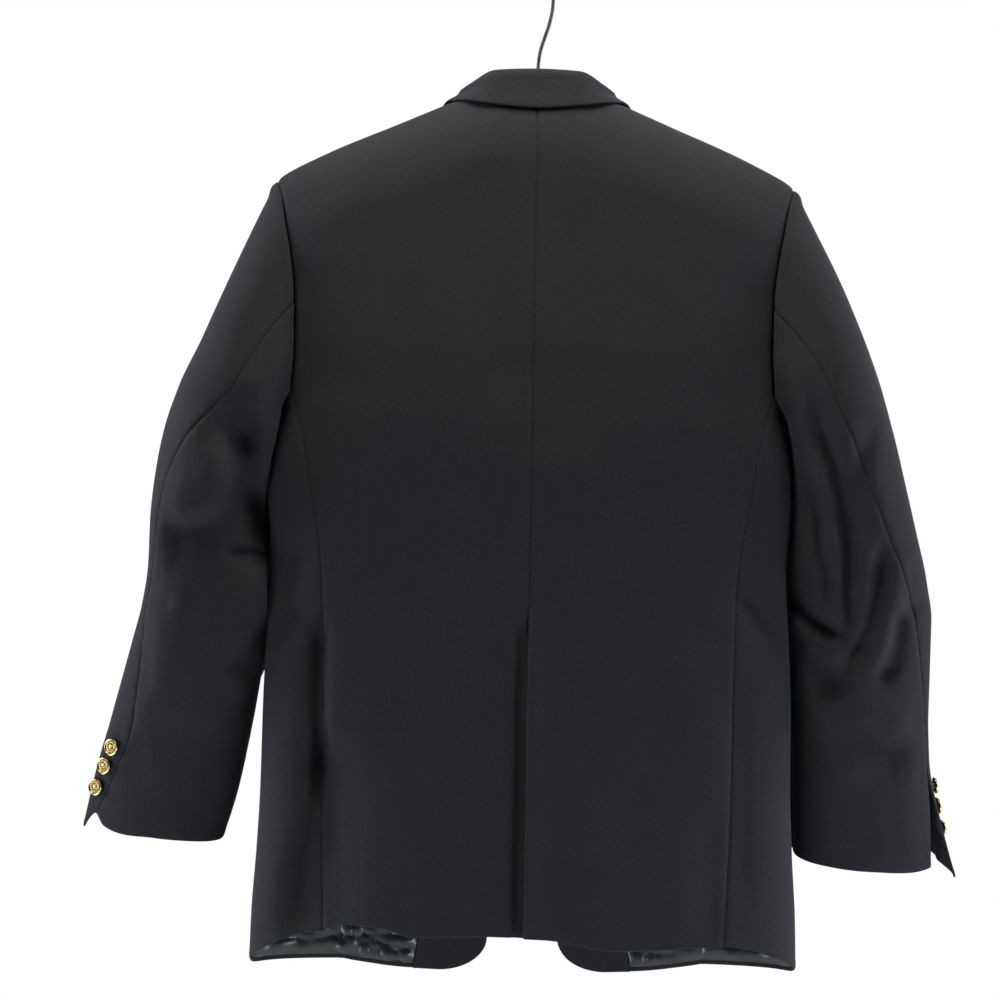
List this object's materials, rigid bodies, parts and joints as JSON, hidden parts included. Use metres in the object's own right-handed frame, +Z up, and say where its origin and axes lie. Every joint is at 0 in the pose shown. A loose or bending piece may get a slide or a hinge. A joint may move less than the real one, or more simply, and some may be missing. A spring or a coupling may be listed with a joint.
{
  "type": "blazer on a hanger",
  "caption": "Dark navy wool blazer with notched lapels, a centre back vent and gold metal buttons, hung buttoned on a plain wooden hanger with a steel hook.",
  "frame": {"origin": "inner top of the hook's bowl, where a rail carries it", "axes": "+Z up, -Y towards the blazer's front, +X towards the wearer's left"},
  "size_m": [0.7887, 0.1266, 0.928],
  "materials": {
    "wool": "matte worsted wool twill, near-black navy",
    "lining": "satin lining, near black",
    "gold": "polished gold-coloured metal with a darkened ground",
    "wood": "lacquered",
    "steel": "dark polished wire"
  },
  "bodies": {
    "root": {"back_left": "wool", "back_right": "wool", "side_left": "wool", "side_right": "wool", "front_left": "wool", "front_right": "wool", "facing_left": "wool", "facing_right": "wool", "lapel_left": "wool", "lapel_right": "wool", "collar": "wool", "top_sleeve_left": "wool", "top_sleeve_right": "wool", "under_sleeve_left": "wool", "under_sleeve_right": "wool", "lining_left": "lining", "lining_right": "lining", "front_button_top": "gold", "front_button_low": "gold", "cuff_button_left_1": "gold", "cuff_button_left_2": "gold", "cuff_button_left_3": "gold", "cuff_button_right_1": "gold", "cuff_button_right_2": "gold", "cuff_button_right_3": "gold", "hanger_arms": "wood", "hook": "steel"}
  },
  "joints": []
}
